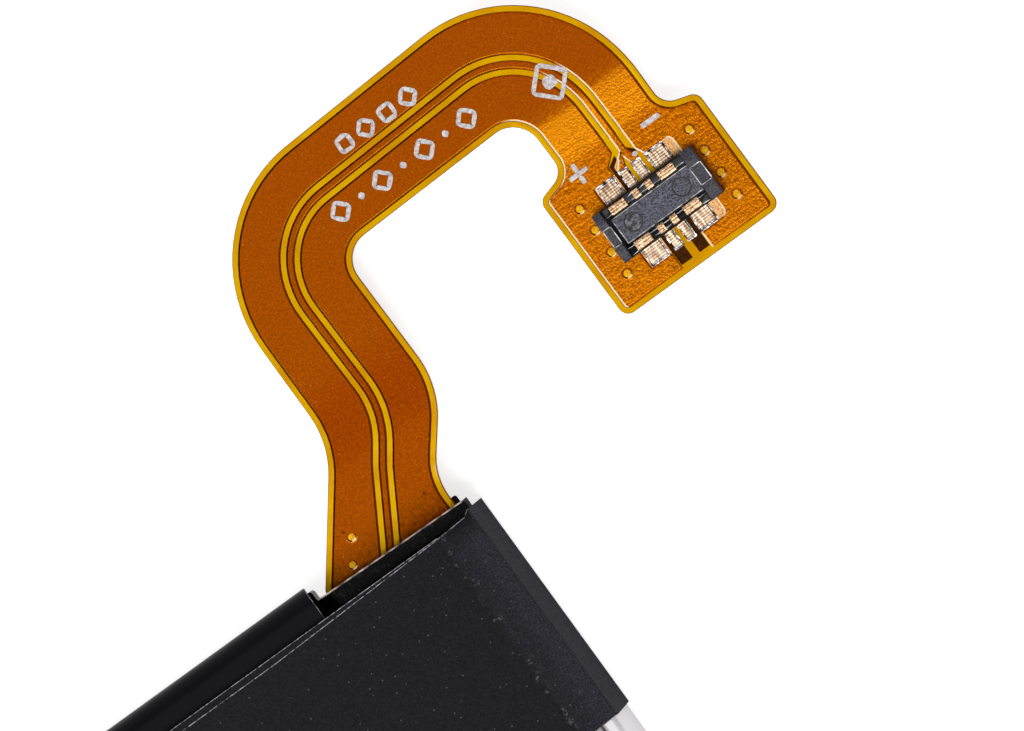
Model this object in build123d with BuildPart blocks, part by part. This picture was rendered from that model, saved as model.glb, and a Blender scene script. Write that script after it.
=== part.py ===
from build123d import *
import math
import os

os.makedirs("parts", exist_ok=True)

# Mobile phone battery. Millimetres. X runs across the cell to its right side, Y along it to its head, and
# Z out of its front face. The origin is the middle of the cell's back face.

# Pouch cell
body_length = 84.0
pocket_width = 60.0
cell_thickness = 4.4
pocket_corner = 1.6
front_edge_radius = 1.0
back_edge_radius = 0.35
terrace_depth = 3.6
terrace_thickness = 0.30
terrace_air = 0.02
terrace_inset = 0.4
seam_sheet = 0.26
seam_air = 0.30
seam_height = 3.3
seam_end_gap = 0.3
seam_bend = 0.16
seam_clearance = 0.06

# Head, counted outwards from the sleeve's cut edge
head_reach = 1.7
terrace_setback = 1.0

# Black films, card and tapes
film = 0.06
film_clearance = 0.06
sleeve_length = 11.15
sleeve_corner_ear = 0.30
sleeve_skew = 0.30
facet_width = 1.15
facet_drop = 0.95
card_thickness = 0.20
card_edge = 0.05
wrap_film = 0.08
wrap_shelf_drop = 0.35
wrap_front_radius = 0.8
wrap_back_radius = 0.5
wrap_tuck = 0.20
wrap_air = 0.20
window_left = -8.24
sleeve_back_radius = 0.3
sleeve_side_radius = 0.4
sleeve_facet_radius = 1.2
sleeve_bend_left = -11.2
sleeve_bend_right = -2.0
sleeve_ear_start = -0.3

# Protection board and what it carries
board_underside = 1.70
board_thickness = 0.60
board_back_gap = 0.55
board_left_margin = 1.4
board_right_margin = 0.24
board_step = 0.3
tape_tuck = 0.15
board_edge_left = 0.86
board_edge_right = 0.68
component_line = -2.2
mosfet_x = (-3.5, 0.5)
mosfet_size = (3.0, 2.8, 0.75)
ic_x = 4.2
ic_size = (1.8, 1.8, 0.55)
package_edge = 0.08
sense_x = -8.2
sense_size = (3.2, 1.6, 0.55)
thermistor_x = 13.0
chip_size = (1.0, 0.5, 0.45)
chip_edge = 0.04
chip_count = 4
chip_start = 6.6
chip_pitch = 1.5
capacitor_row = 0.8
resistor_row = -0.6
foam_side_inset = 0.6
foam_wall = 0.25
foam_front_wall = 0.45
foam_gap = 0.05
chip_air = 0.10
weld_pad_size = (5.0, 2.4, 0.20)
solder_film = 0.02

# Cell tabs
tab_width = 4.0
tab_sheet = 0.10
tab_bury = 1.0
tab_upper_run = 3.0
seal_margin = 0.8
seal_thickness = 0.20
seal_overhang = 0.35
positive_tab_x = -12.0
negative_tab_x = 8.0

# Flex: layers
base_film = 0.09
copper = 0.04
cover_film = 0.06
copper_margin = 0.30
trace_width = 0.345
trace_gap = 0.30
cover_start = -0.15
root_solder = ((-7.66, -6.43), (-5.79, -5.55), (-4.28, -1.3))
root_solder_low = -1.2
root_solder_high = -0.75
root_tape_thickness = 0.06
root_tape_inset = 0.10
root_tape_right = -0.59
root_tape_front = (0.85, 1.12)
root_tape_radius = 0.12

# Flex: outline, counted from the right end of the sleeve's cut edge
root_left = -8.20
root_right = -0.83
root_end = -1.6
run_left = -3.81
run_right = 1.83
top_inner = 13.0
top_outer = 18.12
top_rise = 0.034
inner_rise = 0.02
neck_left = 12.23
neck_right = 17.80
neck_lean = 0.1
tab_left = 10.58
tab_right = 19.30
tab_bottom = 3.06
tab_top = 9.55
tab_right_shoulder = 9.33
neck_right_shoulder = 9.82
neck_left_shoulder = 10.0
lower_slope = 0.817
inner_knee = 5.55
outer_knee = 6.35
root_knee = 2.27
outer_radius_left = 6.75
outer_radius_right = 6.8
inner_radius = 1.36
knee_radius = 4.4
root_knee_radius = 2.9
shoulder_radius = 0.85
tab_radius = 0.50
root_radius = 0.3

# Flex: the signal trace that runs between the two power planes
trace_root = (-5.88, -1.3)
trace_knee_low = (-2.46, 4.07)
trace_knee_high = (-0.85, 6.15)
trace_x = -1.06
trace_top_left = 15.57
trace_top_right = 16.10
trace_neck_x = 15.05
trace_radius_left = 3.87
trace_radius_right = 4.1
trace_knee_radius = 4.2
isolation_shift = (-0.18, -0.30)

# Flex: the way it hangs, seen from the side
exit_rise_angle = 5.0
exit_bend_end = 5.6
exit_bend_radius = 17.0
neck_high = 12.6
neck_low = 10.1
neck_slope_angle = 6.5
neck_bend_radius = 9.0
tab_hang_angle = 2.5
bay_split = 6.2

# Tab plate and plug
stiffener_thickness = 0.30
stiffener_inset = 0.12
stiffener_setback = 0.30
plug_x = 14.96
plug_y = 6.37
plug_length = 5.50
plug_width = 2.56
plug_floor = 0.15
end_block_left = 0.46
end_block_right = 0.63
end_block_height = 0.80
end_notch_width = 0.86
end_notch_depth = 0.14
rail_width = 0.46
rail_height = 0.62
rail_radius = 0.08
trench_width = 0.15
island_height = 0.55
island_mark_radius = 0.42
island_mark_depth = 0.02
island_mark_x = 1.35
plug_edge = 0.04
power_contact_x = (-1.48, 1.24)
signal_contact_x = (-0.46, 0.25)
power_contact_width = 0.84
signal_contact_width = 0.34
contact_sheet = 0.08
contact_bend = 0.07
tail_length = 0.78
contact_cover = 0.10
contact_drop = 0.40
joint_margin = 0.055
joint_reach = 0.10
joint_height = 0.09
joint_slope = 30.0

# Openings of the cover_film round the plug, and the copper lands in them
window_inner = 7.44
window_outer = 8.56
lower_window_inner = 5.30
lower_window_outer = 4.18
isolation_left = 14.06
isolation_right = 15.70
isolation_top = 9.40
isolation_shoulder = 8.95
isolation_bottom = 3.30
sense_land_left = 14.24
sense_land_split = (14.75, 15.00)
sense_land_right = 15.45
fork_start = 9.35
fork_crotch = 8.95
fork_shoulder = 9.25
fork_left_bend = 8.80
fork_right_bend = 8.70
fork_leg_bend = 8.60
power_window_left = 12.92
power_window_right = 17.14
power_window_radius = 0.32
rail_of_film_left = 14.76
rail_of_film_right = 14.98
minus_film_left = 15.45
bare_window_low = 3.50
bare_window_high = 9.25
bare_left = (14.08, 14.71)
bare_right = (15.10, 15.66)

# Places and heights that follow from the sizes above
seam_width = 2 * seam_sheet + seam_air
side_x = pocket_width / 2 + seam_clearance + seam_width + film_clearance + film
ridge_y = body_length / 2
bottom_y = -body_length / 2
pocket_head_y = ridge_y - terrace_setback - terrace_depth
terrace_y = ridge_y - terrace_setback
pocket_length = pocket_head_y - bottom_y
terrace_lift = film + wrap_film + terrace_air
terrace_top = terrace_lift + terrace_thickness
sleeve_top = cell_thickness + film
board_top = board_underside + board_thickness
card_underside = cell_thickness - card_thickness
copper_top = base_film + copper
flex_total = copper_top + cover_film
flex_z = board_underside - flex_total - 2 * solder_film


def corner_plane(z):
    """A level plane whose origin is the right end of the sleeve's cut edge, at height z."""
    return Plane((side_x, ridge_y, z))


def save(part_builder, label):
    part_builder.part.label = label
    export_step(part_builder.part, "parts/" + label + ".step")


# The cell: a drawn laminate pouch with a flat terrace at the head and a folded seam along each side.
# Its back is pressed in by the sleeve's film, so the two are flush. The tabs come out of the terrace, so
# it has a slot for each of them and its seal.
seam_outer_x = pocket_width / 2 + seam_clearance + seam_width
seam_leg_x = seam_outer_x - seam_sheet / 2
seam_lip_x = seam_leg_x - seam_sheet - seam_air
seam_mid_z = seam_sheet / 2 + terrace_lift
tab_mid_z = terrace_lift + terrace_thickness / 2
seal_width = tab_width + 2 * seal_margin

with BuildPart() as pouch_cell:
    with BuildSketch(Plane.XY):
        with Locations((0, (bottom_y + pocket_head_y) / 2)):
            RectangleRounded(pocket_width, pocket_length, pocket_corner)
    extrude(amount=cell_thickness)
    fillet(pouch_cell.edges().group_by(Axis.Z)[-1], front_edge_radius)
    fillet(pouch_cell.edges().group_by(Axis.Z)[0], back_edge_radius)
    with BuildSketch(Plane.XY):
        with Locations((0, ridge_y - sleeve_length - film_clearance)):
            Rectangle(2 * side_x, 2 * sleeve_length, align=(Align.CENTER, Align.MIN))
    extrude(amount=film, mode=Mode.SUBTRACT)
    with BuildSketch(Plane.XY.offset(terrace_lift)):
        with Locations((0, terrace_y)):
            Rectangle(
                pocket_width - 2 * terrace_inset,
                terrace_depth + pocket_corner,
                align=(Align.CENTER, Align.MAX),
            )
    extrude(amount=terrace_thickness)
    with BuildSketch(Plane((0, pocket_head_y - seam_end_gap, 0), x_dir=(1, 0, 0), z_dir=(0, -1, 0))):
        with BuildLine():
            FilletPolyline(
                (pocket_width / 2 - back_edge_radius, seam_mid_z),
                (seam_leg_x, seam_mid_z),
                (seam_leg_x, seam_height),
                (seam_lip_x, seam_height),
                (seam_lip_x, seam_height / 2),
                radius=seam_bend,
            )
        trace(line_width=seam_sheet)
        mirror(about=Plane.YZ)
    extrude(amount=pocket_length - seam_end_gap - pocket_corner)
    with BuildSketch(Plane.XY.offset(tab_mid_z - seal_thickness / 2)):
        with Locations((positive_tab_x, terrace_y), (negative_tab_x, terrace_y)):
            Rectangle(seal_width, 2 * tab_bury)
    extrude(amount=seal_thickness, mode=Mode.SUBTRACT)
save(pouch_cell, "pouch_cell")

# Each metal tab leaves the terrace, turns back over it in a half circle and lies under its weld pad.
# Two strips of plastic, welded into one, seal it into the pouch.
tab_upper_z = board_underside - weld_pad_size[2] - tab_sheet / 2
tab_turn_radius = (tab_upper_z - tab_mid_z) / 2
tab_turn_y = terrace_y + seal_overhang
weld_pad_y = tab_turn_y - tab_upper_run / 2

for tab_name, tab_x in (("positive", positive_tab_x), ("negative", negative_tab_x)):
    with BuildPart() as cell_tab:
        with BuildSketch(Plane.YZ.offset(tab_x - tab_width / 2)):
            with BuildLine():
                lower_run = Line((terrace_y - tab_bury, tab_mid_z), (tab_turn_y, tab_mid_z))
                turn = CenterArc((tab_turn_y, tab_mid_z + tab_turn_radius), tab_turn_radius, -90, 180)
                Line(turn @ 1, (tab_turn_y - tab_upper_run, tab_upper_z))
            trace(line_width=tab_sheet)
        extrude(amount=tab_width)
    save(cell_tab, tab_name + "_tab")

    with BuildPart() as tab_seal:
        with BuildSketch(Plane.XY.offset(tab_mid_z - seal_thickness / 2)):
            with Locations((tab_x, terrace_y - tab_bury)):
                Rectangle(seal_width, tab_bury + seal_overhang, align=(Align.CENTER, Align.MIN))
        extrude(amount=seal_thickness)
        with BuildSketch(Plane.XY.offset(tab_mid_z - tab_sheet / 2)):
            with Locations((tab_x, terrace_y)):
                Rectangle(tab_width, 4 * tab_bury)
        extrude(amount=tab_sheet, mode=Mode.SUBTRACT)
    save(tab_seal, tab_name + "_seal")

    with BuildPart() as weld_pad:
        with BuildSketch(Plane.XY.offset(board_underside - weld_pad_size[2])):
            with Locations((tab_x, weld_pad_y)):
                RectangleRounded(weld_pad_size[0], weld_pad_size[1], weld_pad_size[2])
        extrude(amount=weld_pad_size[2])
    save(weld_pad, tab_name + "_weld_pad")

# Soft pad between the terrace and what lies under the board.
board_left_x = -side_x + board_left_margin
board_right_x = side_x - board_right_margin
board_back_y = pocket_head_y + board_back_gap
pad_top = tab_upper_z - tab_sheet / 2

with BuildPart() as terrace_pad:
    with BuildSketch(Plane.XY.offset(terrace_top)):
        with Locations((0, board_back_y)):
            Rectangle(
                pocket_width - 4 * terrace_inset,
                terrace_depth - board_back_gap,
                align=(Align.CENTER, Align.MIN),
            )
    extrude(amount=pad_top - terrace_top)
save(terrace_pad, "terrace_pad")

# The protection board: its outer edge steps back at the window where the flex comes out.
board_head_v = head_reach - wrap_film - wrap_air
board_outline = [
    (board_left_x - side_x, board_back_y - ridge_y),
    (board_right_x - side_x, board_back_y - ridge_y),
    (board_right_x - side_x, board_edge_right),
    (window_left - board_step, board_edge_left),
    (window_left - board_step, board_head_v),
    (board_left_x - side_x, board_head_v),
]

with BuildPart() as protection_board:
    with BuildSketch(corner_plane(board_underside)):
        with BuildLine():
            FilletPolyline(*board_outline, radius=board_step / 2, close=True)
        make_face()
    extrude(amount=board_thickness)
save(protection_board, "protection_board")

# Black tape over the board's edge in the window: a skin on top, turned down over the edge and the end.
with BuildPart() as board_tape:
    with BuildSketch(corner_plane(board_underside)):
        with BuildLine():
            Polyline(
                (window_left - board_step + film, -tape_tuck),
                (board_right_x - side_x + film, -tape_tuck),
                (board_right_x - side_x + film, board_edge_right + film),
                (window_left - board_step + film, board_edge_left + film),
                close=True,
            )
        make_face()
    extrude(amount=board_thickness + film)
    with BuildSketch(corner_plane(board_underside)):
        with BuildLine():
            FilletPolyline(*board_outline, radius=board_step / 2, close=True)
        make_face()
    extrude(amount=board_thickness, mode=Mode.SUBTRACT)
save(board_tape, "board_tape")


def board_chips(places, size, edge):
    """Chips of one size standing on the board, each with its edges broken."""
    with BuildPart() as chips:
        with BuildSketch(Plane.XY.offset(board_top)):
            with Locations(*places):
                Rectangle(size[0], size[1])
        extrude(amount=size[2])
        chamfer(chips.edges().group_by(Axis.Z)[-1], edge)
    return chips


component_y = ridge_y + component_line
save(board_chips([(mosfet_x[0], component_y)], mosfet_size, package_edge), "mosfet_1")
save(board_chips([(mosfet_x[1], component_y)], mosfet_size, package_edge), "mosfet_2")
save(board_chips([(ic_x, component_y)], ic_size, package_edge), "protection_ic")
save(board_chips([(sense_x, component_y)], sense_size, chip_edge), "sense_resistor")
save(board_chips([(thermistor_x, component_y)], chip_size, chip_edge), "thermistor")

chip_xs = [chip_start + chip_pitch * i for i in range(chip_count)]
capacitor_places = [(x, component_y + capacitor_row) for x in chip_xs]
resistor_places = [(x, component_y + resistor_row) for x in chip_xs]
save(board_chips(capacitor_places, chip_size, chip_edge), "chip_capacitors")
save(board_chips(resistor_places, chip_size, chip_edge), "chip_resistors")

# Foam over the chips, hollowed out from below, and the card that closes the head under the sleeve.
foam_half_width = side_x - facet_width - foam_side_inset
foam_back_v = board_back_y - ridge_y
foam_front_v = -wrap_tuck - foam_gap
chip_room = mosfet_size[2] + chip_air

with BuildPart() as head_foam:
    with BuildSketch(corner_plane(board_top)):
        with Locations((-side_x, foam_back_v)):
            Rectangle(2 * foam_half_width, foam_front_v - foam_back_v, align=(Align.CENTER, Align.MIN))
    extrude(amount=card_underside - board_top)
    with BuildSketch(corner_plane(board_top)):
        with Locations((-side_x, foam_back_v + foam_wall)):
            Rectangle(
                2 * (foam_half_width - foam_wall),
                foam_front_v - foam_back_v - foam_wall - foam_front_wall,
                align=(Align.CENTER, Align.MIN),
            )
    extrude(amount=chip_room, mode=Mode.SUBTRACT)
save(head_foam, "head_foam")

with BuildPart() as head_card:
    with BuildSketch(corner_plane(card_underside)):
        with Locations((-side_x, card_edge)):
            Rectangle(
                2 * foam_half_width,
                card_edge - (pocket_head_y - ridge_y) - foam_gap,
                align=(Align.CENTER, Align.MAX),
            )
    extrude(amount=card_thickness)
save(head_card, "head_card")

# Smooth tape round the head: a shelf in front, a rounded outer edge, and a flap under the terrace.
# It is cut off square at the window where the flex comes out.
wrap_shelf_z = cell_thickness - wrap_shelf_drop
wrap_end_y = ridge_y + head_reach
wrap_mid = wrap_film / 2
wrap_back_y = pocket_head_y + board_back_gap
wrap_floor = film + wrap_mid
wrap_left_x = board_left_x - wrap_air

with BuildPart() as head_wrap:
    with BuildSketch(Plane.YZ.offset(wrap_left_x)):
        with BuildLine():
            FilletPolyline(
                (ridge_y - wrap_tuck, wrap_shelf_z - wrap_mid),
                (wrap_end_y - wrap_mid, wrap_shelf_z - wrap_mid),
                (wrap_end_y - wrap_mid, wrap_floor),
                (wrap_back_y, wrap_floor),
                radius=[wrap_front_radius, wrap_back_radius],
            )
        trace(line_width=wrap_film)
    extrude(amount=side_x + window_left - wrap_left_x)
save(head_wrap, "head_wrap")

# Matte film sleeve round the head end of the cell. Its section bridges from the flat front to the seam's
# outer side as a facet. The cut edge along the head runs a little askew and lifts at the right corner.
sleeve_section = [
    (-side_x, 0),
    (side_x, 0),
    (side_x, sleeve_top - facet_drop),
    (side_x - facet_width, sleeve_top),
    (-side_x + facet_width, sleeve_top),
    (-side_x, sleeve_top - facet_drop),
]
sleeve_radii = [
    sleeve_back_radius,
    sleeve_back_radius,
    sleeve_side_radius,
    sleeve_facet_radius,
    sleeve_facet_radius,
    sleeve_side_radius,
]
sleeve_past = 2 * film

with BuildPart() as end_sleeve:
    with BuildSketch(
        Plane((0, ridge_y + sleeve_corner_ear, 0), x_dir=(1, 0, 0), z_dir=(0, -1, 0))
    ) as sleeve_ring:
        with BuildLine():
            FilletPolyline(*sleeve_section, radius=sleeve_radii, close=True)
        make_face()
        offset(amount=-film, mode=Mode.SUBTRACT)
    extrude(amount=sleeve_length + sleeve_corner_ear)
    with BuildSketch(corner_plane(-sleeve_past)):
        with BuildLine():
            Polyline(
                (-2 * side_x - sleeve_past, -sleeve_skew),
                (sleeve_bend_left, -0.9 * sleeve_skew),
                (sleeve_bend_right, 0.0),
                (sleeve_ear_start, 0.3 * sleeve_corner_ear),
                (-film, sleeve_corner_ear),
                (sleeve_past, sleeve_corner_ear),
                (sleeve_past, 2 * head_reach),
                (-2 * side_x - sleeve_past, 2 * head_reach),
                close=True,
            )
        make_face()
    extrude(amount=sleeve_top + 2 * sleeve_past, mode=Mode.SUBTRACT)
save(end_sleeve, "end_sleeve")

# Flex: the outline as seen from the front, clockwise from its root in the head.
outline_points = [
    (root_left, root_end),
    (root_left, outer_knee - (run_left - root_left) / lower_slope),
    (run_left, outer_knee),
    (run_left, top_outer),
    (neck_right + neck_lean, top_outer + top_rise * (neck_right - run_left)),
    (neck_right - neck_lean, neck_right_shoulder),
    (tab_right, tab_right_shoulder),
    (tab_right, tab_bottom),
    (tab_left, tab_bottom),
    (tab_left, tab_top),
    (neck_left, neck_left_shoulder),
    (neck_left, top_inner + inner_rise * (neck_left - run_right)),
    (run_right, top_inner),
    (run_right + neck_lean, inner_knee),
    (root_right, root_knee),
    (root_right, root_end),
]
outline_radii = [
    root_radius,
    root_radius,
    knee_radius,
    outer_radius_left,
    outer_radius_right,
    shoulder_radius,
    tab_radius,
    tab_radius,
    tab_radius,
    tab_radius,
    shoulder_radius,
    inner_radius,
    inner_radius,
    knee_radius,
    root_knee_radius,
    root_radius,
]
trace_points = [
    trace_root,
    trace_knee_low,
    trace_knee_high,
    (trace_x, trace_top_left),
    (trace_neck_x, trace_top_right),
    (trace_neck_x, fork_start),
]
isolation_root = (trace_root[0] + isolation_shift[0], trace_root[1] + isolation_shift[1])
trace_radii = [trace_knee_radius, trace_knee_radius, trace_radius_left, trace_radius_right]
trace_left_x = trace_neck_x - trace_width / 2
trace_right_x = trace_neck_x + trace_width / 2


def area(left, right, low, high, mode=Mode.ADD):
    """A rectangle between four edges, drawn in the sketch that is open."""
    with Locations(((left + right) / 2, (low + high) / 2)):
        Rectangle(right - left, high - low, mode=mode)


with BuildSketch() as flex_outline:
    with BuildLine():
        FilletPolyline(*outline_points, radius=outline_radii, close=True)
    make_face()

# The trace splits into two legs, one for each signal contact of the plug's upper row. The lower row's
# signal contacts stand on lands of their own.
with BuildSketch() as signal_trace:
    with BuildLine():
        FilletPolyline(*trace_points, radius=trace_radii)
    trace(line_width=trace_width)
    with BuildLine():
        Polyline(
            (trace_left_x, fork_start),
            (trace_left_x, fork_shoulder),
            (sense_land_left, fork_left_bend),
            (sense_land_left, window_inner),
            (sense_land_split[0], window_inner),
            (sense_land_split[0], fork_leg_bend),
            ((sense_land_split[0] + sense_land_split[1]) / 2, fork_crotch),
            (sense_land_split[1], fork_leg_bend),
            (sense_land_split[1], window_inner),
            (sense_land_right, window_inner),
            (sense_land_right, fork_right_bend),
            (trace_right_x, fork_shoulder),
            (trace_right_x, fork_start),
            close=True,
        )
    make_face()

with BuildSketch() as sense_lands:
    area(sense_land_left, sense_land_split[0], lower_window_outer, lower_window_inner)
    area(sense_land_split[1], sense_land_right, lower_window_outer, lower_window_inner)

# The gap between the planes: a band along the trace, and a pocket round the signal lands beside the plug.
with BuildSketch() as isolation:
    with BuildLine():
        FilletPolyline(isolation_root, *trace_points[1:], radius=trace_radii)
    trace(line_width=trace_width + 2 * trace_gap)
    with BuildLine():
        Polyline(
            (isolation_left, isolation_bottom),
            (isolation_left, isolation_shoulder),
            (trace_left_x - trace_gap, isolation_top),
            (trace_right_x + trace_gap, isolation_top),
            (trace_right_x + trace_gap, isolation_shoulder),
            (isolation_right, fork_leg_bend),
            (isolation_right, isolation_bottom),
            close=True,
        )
    make_face()

# Two power planes, set in from the film's edge. The inner one is positive and the outer one negative.
with BuildSketch() as power_planes:
    add(flex_outline.sketch)
    offset(amount=-copper_margin, mode=Mode.REPLACE)
    add(isolation.sketch, mode=Mode.SUBTRACT)
plane_faces = power_planes.sketch.faces().sort_by(SortBy.AREA)[-2:]
positive_face, negative_face = sorted(plane_faces, key=lambda face: face.bounding_box().max.X)

with BuildSketch() as all_copper:
    add([negative_face, positive_face])
    add(signal_trace.sketch)
    add(sense_lands.sketch)

# The cover film is open over the lands and over the bare spots beside them, and ends inside the head. The
# windows of the negative lands are rounded at their outer corners.
with BuildSketch() as film_windows:
    area(power_window_left, rail_of_film_left, window_inner, window_outer)
    area(rail_of_film_right, minus_film_left, window_inner, window_outer)
    area(isolation_right, power_window_right, window_inner, window_outer)
    area(power_window_left, rail_of_film_left, lower_window_outer, lower_window_inner)
    area(rail_of_film_right, power_window_right, lower_window_outer, lower_window_inner)
    right_corners = film_windows.vertices().group_by(Axis.X)[-1].sort_by(Axis.Y)
    fillet([right_corners[0], right_corners[-1]], power_window_radius)
    area(*bare_left, bare_window_low, lower_window_inner)
    area(*bare_right, bare_window_low, lower_window_inner)
    with BuildLine():
        Polyline(
            (bare_left[0], window_inner),
            (bare_left[0], isolation_shoulder),
            (trace_left_x - trace_gap, bare_window_high),
            (trace_left_x - trace_gap, isolation_shoulder),
            (sense_land_left, window_outer),
            (sense_land_left, window_inner),
            close=True,
        )
    make_face()
    with BuildLine():
        Polyline(
            (trace_right_x, fork_shoulder),
            (trace_right_x + trace_gap, isolation_shoulder),
            (trace_right_x + trace_gap, fork_left_bend),
            (sense_land_right, fork_right_bend),
            close=True,
        )
    make_face()

with BuildSketch() as film_on_copper:
    add(all_copper.sketch)
    area(root_left, root_right, root_end, cover_start, mode=Mode.SUBTRACT)
    add(film_windows.sketch, mode=Mode.SUBTRACT)

with BuildSketch() as film_on_base:
    add(flex_outline.sketch)
    area(root_left, root_right, root_end, cover_start, mode=Mode.SUBTRACT)
    add(all_copper.sketch, mode=Mode.SUBTRACT)
    add(film_windows.sketch, mode=Mode.SUBTRACT)

with BuildSketch() as tab_plate:
    add(flex_outline.sketch)
    area(tab_left, tab_right, tab_bottom, tab_top - stiffener_setback, mode=Mode.INTERSECT)
    offset(amount=-stiffener_inset, mode=Mode.REPLACE)

# The flex in side view: level under the board, a slight rise, level again, a step down at the neck, and the
# tab hanging a little towards the table. The run and the tab lie in different stretches across.
rise = math.radians(exit_rise_angle)
hang = math.radians(tab_hang_angle)
rise_start = exit_bend_radius * math.tan(rise / 2)
flex_lift = (exit_bend_end - rise_start) * math.tan(rise)
neck_drop = (neck_high - neck_low) * math.tan(math.radians(neck_slope_angle))
tab_drop = (neck_low - tab_bottom) * math.tan(hang)
side_margin = 2.0
far_end = top_outer + side_margin
run_corners = [(root_end - side_margin, 0), (rise_start, 0), (exit_bend_end, flex_lift), (far_end, flex_lift)]
tab_corners = [
    (tab_bottom - side_margin, flex_lift - neck_drop - tab_drop - side_margin * math.tan(hang)),
    (neck_low, flex_lift - neck_drop),
    (neck_high, flex_lift),
    (far_end, flex_lift),
]
run_stretch = (run_corners, [0, exit_rise_angle, 0], exit_bend_radius)
tab_stretch = (tab_corners, [tab_hang_angle, neck_slope_angle, 0], neck_bend_radius)


def side_line(stretch, height):
    """Side view of a stretch, at a height above the flex's lower face: straight slopes joined by arcs."""
    corners, slopes, bend_radius = stretch
    places = []
    for corner, before, after in zip(corners, slopes[:1] + slopes, slopes + slopes[-1:]):
        middle = math.radians((before + after) / 2)
        reach = height / math.cos(math.radians((after - before) / 2))
        places.append((corner[0] - reach * math.sin(middle), corner[1] + reach * math.cos(middle)))
    radii = []
    for before, after in zip(slopes, slopes[1:]):
        radii.append(bend_radius + height if after < before else bend_radius - height)
    return FilletPolyline(*places, radius=radii)


def bent_sheet(low, high):
    """A bent layer of the flex between two heights above its lower face, before it is cut to its outline."""
    with BuildPart() as bent:
        for stretch, left, right in (
            (run_stretch, root_left - side_margin, bay_split),
            (tab_stretch, bay_split, tab_right + side_margin),
        ):
            with BuildSketch(Plane((side_x + left, ridge_y, flex_z), x_dir=(0, 1, 0), z_dir=(1, 0, 0))):
                with BuildLine():
                    lower = side_line(stretch, low)
                    upper = side_line(stretch, high)
                    Line(lower @ 0, upper @ 0)
                    Line(lower @ 1, upper @ 1)
                make_face()
            extrude(amount=right - left)
    return bent.part


def flex_layer(outline, low, high):
    """One layer of the flex: its bent sheet, cut to an outline that is drawn as seen from the front."""
    bent = bent_sheet(low, high)
    with BuildPart() as layer:
        with BuildSketch(corner_plane(-cell_thickness)):
            add(outline)
        extrude(amount=3 * cell_thickness)
        add(bent, mode=Mode.INTERSECT)
    return layer


save(flex_layer(flex_outline.sketch, 0, base_film), "flex_base_film")
save(flex_layer(positive_face, base_film, copper_top), "flex_positive_plane")
save(flex_layer(negative_face, base_film, copper_top), "flex_negative_plane")
save(flex_layer(signal_trace.sketch, base_film, copper_top), "flex_signal_trace")
save(flex_layer(sense_lands.sketch, base_film, copper_top), "flex_sense_lands")
save(flex_layer(tab_plate.sketch, -stiffener_thickness, 0), "flex_stiffener")

# The cover film lies on the copper, and dips to the base film in the gaps and at the edges. It is two nodes,
# because it is orange over the copper and yellow over the base film.
save(flex_layer(film_on_copper.sketch, copper_top, flex_total), "flex_cover_raised")
save(flex_layer(film_on_base.sketch, base_film, base_film + cover_film), "flex_cover_low")

# Solder between the flex's bare ends and the board, and the black tape under its root.
root_plane_z = flex_z + copper_top
with BuildPart() as flex_solder:
    with BuildSketch(corner_plane(root_plane_z)):
        for left, right in root_solder:
            area(left, right, root_solder_low, root_solder_high)
    extrude(amount=board_underside - root_plane_z)
save(flex_solder, "flex_solder")

with BuildPart() as flex_root_tape:
    with BuildSketch(corner_plane(flex_z - root_tape_thickness)):
        with BuildLine():
            FilletPolyline(
                (root_left + root_tape_inset, root_end),
                (root_left + root_tape_inset, root_tape_front[0]),
                (root_tape_right, root_tape_front[1]),
                (root_tape_right, root_end),
                radius=root_tape_radius,
                close=True,
            )
        make_face()
    extrude(amount=root_tape_thickness)
save(flex_root_tape, "flex_root_tape")


# The plug stands on the tab. All its pieces are drawn on planes that hang with the tab, with X across and
# Y outwards from the plug's middle.
tab_face_y = ridge_y + plug_y
tab_face_z = flex_z + flex_lift - neck_drop - (neck_low - plug_y) * math.tan(hang)
tab_normal = Vector(0, -math.sin(hang), math.cos(hang))


def tab_plane(height, across=0.0):
    """A plane along the tab at a height above the flex's lower face, with its origin at the plug's middle."""
    origin = Vector(side_x + plug_x + across, tab_face_y, tab_face_z) + tab_normal * height
    return Plane(origin, x_dir=(1, 0, 0), z_dir=tab_normal)


def contact_side(across, outward):
    """A plane for a contact's side view: X outwards (+1 or -1), Y up from the film."""
    along = Vector(0, math.cos(hang), math.sin(hang)) * outward
    origin = Vector(side_x + plug_x + across, tab_face_y, tab_face_z) + tab_normal * film_face
    return Plane(origin, x_dir=along, z_dir=along.cross(tab_normal))


film_face = flex_total
half_width = plug_width / 2
rail_inner = half_width - rail_width
tail_foot = copper_top + solder_film - film_face
outer_leg = half_width - contact_cover - contact_sheet
inner_leg = rail_inner - contact_sheet
contact_top = rail_height + contact_sheet


def contact(across, outward, width):
    """A contact stamped from strip: its tail lies on the land, and it wraps over the plug's rail."""
    with BuildPart() as strip:
        with BuildSketch(contact_side(across, outward).offset(-width / 2)) as section:
            area(outer_leg, half_width + tail_length, tail_foot, tail_foot + contact_sheet)
            area(outer_leg, outer_leg + contact_sheet, tail_foot, contact_top)
            area(inner_leg, outer_leg + contact_sheet, rail_height, contact_top)
            area(inner_leg, rail_inner, rail_height - contact_drop, contact_top)
            fillet(section.vertices().group_by(Axis.Y)[-1], contact_bend)
        extrude(amount=width)
    return strip


def solder_joint(across, outward, width, strip):
    """Solder that has risen round a contact's tail, on the copper land."""
    with BuildPart() as joint:
        with BuildSketch(tab_plane(copper_top, across)):
            with Locations((0, outward * (half_width + (tail_length + joint_reach) / 2))):
                Rectangle(width + 2 * joint_margin, tail_length + joint_reach)
        extrude(amount=joint_height, taper=joint_slope)
        add(strip.part, mode=Mode.SUBTRACT)
    return joint


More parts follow.
